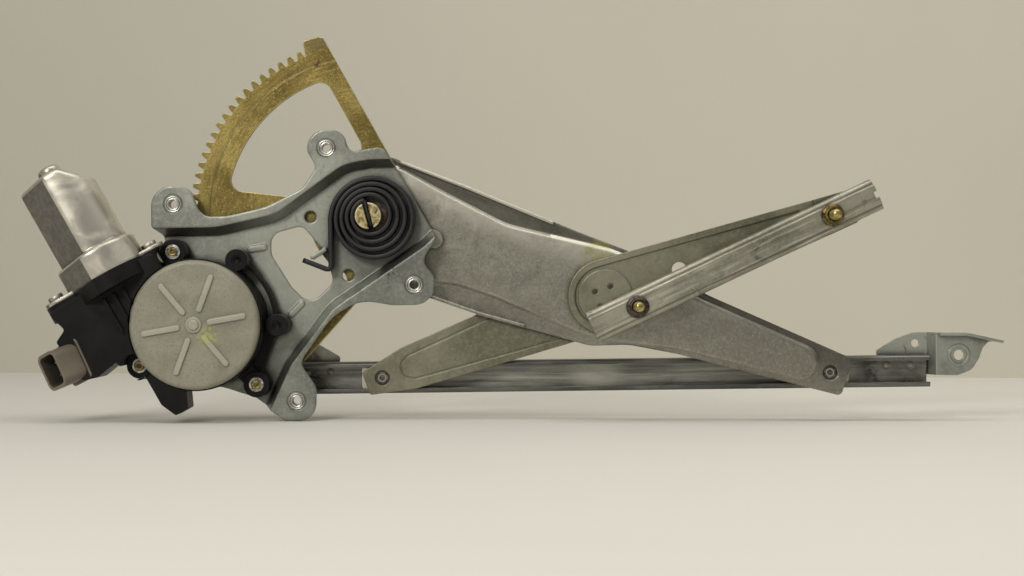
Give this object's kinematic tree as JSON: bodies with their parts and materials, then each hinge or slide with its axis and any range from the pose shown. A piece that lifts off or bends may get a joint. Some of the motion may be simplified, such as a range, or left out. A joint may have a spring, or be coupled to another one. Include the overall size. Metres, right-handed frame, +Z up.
{
  "type": "window regulator",
  "caption": "Cross-arm power window regulator: geared motor and sector gear swing a lift arm; a cross arm, lift channel and tilted equalizer rail guide the glass.",
  "frame": {"origin": "mouth of the upper mounting ear's threaded hole, on the cabin side", "axes": "+X runs from the motor's side towards the lift arm's side, along the lift channel; +Z is up as fitted in the door; -Y faces the cabin side, from which the ears, motor and equalizer rail are reached"},
  "size_m": [0.5594, 0.0727, 0.2202],
  "materials": {
    "zinc_plate": "galvanised satin, mottled",
    "zinc_arm": "galvanised satin, slightly green",
    "yellow_chromate": "yellow chromate, uneven satin",
    "black_moulding": "glass-filled moulding, matte",
    "motor_steel": "zinc plated satin",
    "cover_paint": "pale grey-green coating, fine texture",
    "connector_moulding": "moulded, matte",
    "spring_steel": "blued spring steel",
    "greased_channel": "galvanised, greased",
    "brass": "satin",
    "plain_steel": "plain steel",
    "dark_collar": "dark phosphate",
    "rubber": "matte",
    "wheel_moulding": "acetal, satin",
    "shoe_moulding": "nylon, greased",
    "ferrite": "sintered, matte",
    "copper": "enamelled wire and bare segments"
  },
  "bodies": {
    "base": {"base_plate": "zinc_plate", "mounting_nuts": "zinc_plate", "pivot_bush": "brass", "spiral_spring": "spring_steel", "gear_housing": "black_moulding", "gear_cover": "cover_paint", "cover_seal": "rubber", "output_bush": "brass", "motor_can": "motor_steel", "motor_magnets": "ferrite", "brush_holder": "black_moulding", "carbon_brushes": "ferrite", "rear_bearing": "brass", "worm_bearing": "brass", "can_screws": "motor_steel", "housing_screws": "brass", "connector_shroud": "connector_moulding", "connector_terminals": "brass"},
    "lift_arm": {"sector_gear": "yellow_chromate", "lift_arm": "zinc_plate", "arm_rivets": "yellow_chromate", "pivot_pin": "yellow_chromate", "lift_stud": "plain_steel"},
    "cross_arm": {"cross_arm_front": "zinc_arm", "cross_arm_back": "zinc_arm", "cross_pivot_hub": "plain_steel", "hub_welds": "zinc_arm", "lower_stud": "plain_steel", "upper_stud": "plain_steel"},
    "lift_shoe": {"lift_shoe": "shoe_moulding"},
    "lower_shoe": {"lower_shoe": "shoe_moulding"},
    "upper_shoe": {"upper_shoe": "shoe_moulding"},
    "lift_channel": {"lift_channel": "greased_channel", "glass_bracket_right": "zinc_plate", "glass_bracket_left": "zinc_plate", "bracket_welds": "zinc_plate"},
    "equalizer_rail": {"equalizer_rail": "zinc_plate", "equalizer_studs": "brass", "stud_collars": "dark_collar"},
    "drive": {"worm_wheel": "wheel_moulding", "drive_damper": "rubber", "output_shaft": "plain_steel", "output_pinion": "plain_steel"},
    "armature": {"worm_shaft": "plain_steel", "armature_core": "plain_steel", "armature_windings": "copper", "commutator": "copper"}
  },
  "joints": [
    {"name": "lift_arm_pivot", "type": "hinge", "parent": "base", "child": "lift_arm", "pos_m": [0.0233, 0.0155, -0.0387], "axis": [0, -1, 0], "range_deg": [-14, 68], "deforming": ["spiral_spring"]},
    {"name": "cross_arm_pivot", "type": "hinge", "parent": "lift_arm", "child": "cross_arm", "pos_m": [0.15818, 0.0175, -0.0862], "axis": [0, -1, 0], "range_deg": [-137, 29]},
    {"name": "lift_shoe_swivel", "type": "hinge", "parent": "lift_arm", "child": "lift_shoe", "pos_m": [0.28759, 0.0285, -0.13177], "axis": [0, -1, 0], "range_deg": [-69, 15]},
    {"name": "lower_shoe_swivel", "type": "hinge", "parent": "cross_arm", "child": "lower_shoe", "pos_m": [0.02877, 0.0285, -0.13177], "axis": [0, -1, 0], "range_deg": [-15, 69]},
    {"name": "upper_shoe_swivel", "type": "hinge", "parent": "cross_arm", "child": "upper_shoe", "pos_m": [0.29306, 0.0065, -0.0387], "axis": [0, -1, 0], "range_deg": [-15, 69]},
    {"name": "lift_channel_slide", "type": "slide", "parent": "lift_shoe", "child": "lift_channel", "axis": [1, 0, 0], "range_m": [-0.035, 0.035]},
    {"name": "equalizer_rail_slide", "type": "slide", "parent": "upper_shoe", "child": "equalizer_rail", "axis": [0.91, 0, 0.4147], "range_m": [-0.008, 0.14]},
    {"name": "pinion_spin", "type": "hinge", "parent": "base", "child": "drive", "pos_m": [-0.07222, 0.0105, -0.09908], "axis": [0, -1, 0], "range_deg": [-635, 134]},
    {"name": "armature_spin", "type": "hinge", "parent": "base", "child": "armature", "pos_m": [-0.09845, -0.0115, -0.11363], "axis": [-0.4848, 0, 0.8746], "range_deg": [-9577, 46130]}
  ],
  "couplings": [
    {"joint": "cross_arm_pivot", "follows": "lift_arm_pivot", "ratio": -2},
    {"joint": "lift_shoe_swivel", "follows": "lift_arm_pivot", "ratio": -1},
    {"joint": "lower_shoe_swivel", "follows": "lift_arm_pivot", "ratio": 1},
    {"joint": "upper_shoe_swivel", "follows": "lift_arm_pivot", "ratio": 1},
    {"joint": "pinion_spin", "follows": "lift_arm_pivot", "ratio": -9.2727},
    {"joint": "armature_spin", "follows": "lift_arm_pivot", "ratio": 676.91}
  ]
}
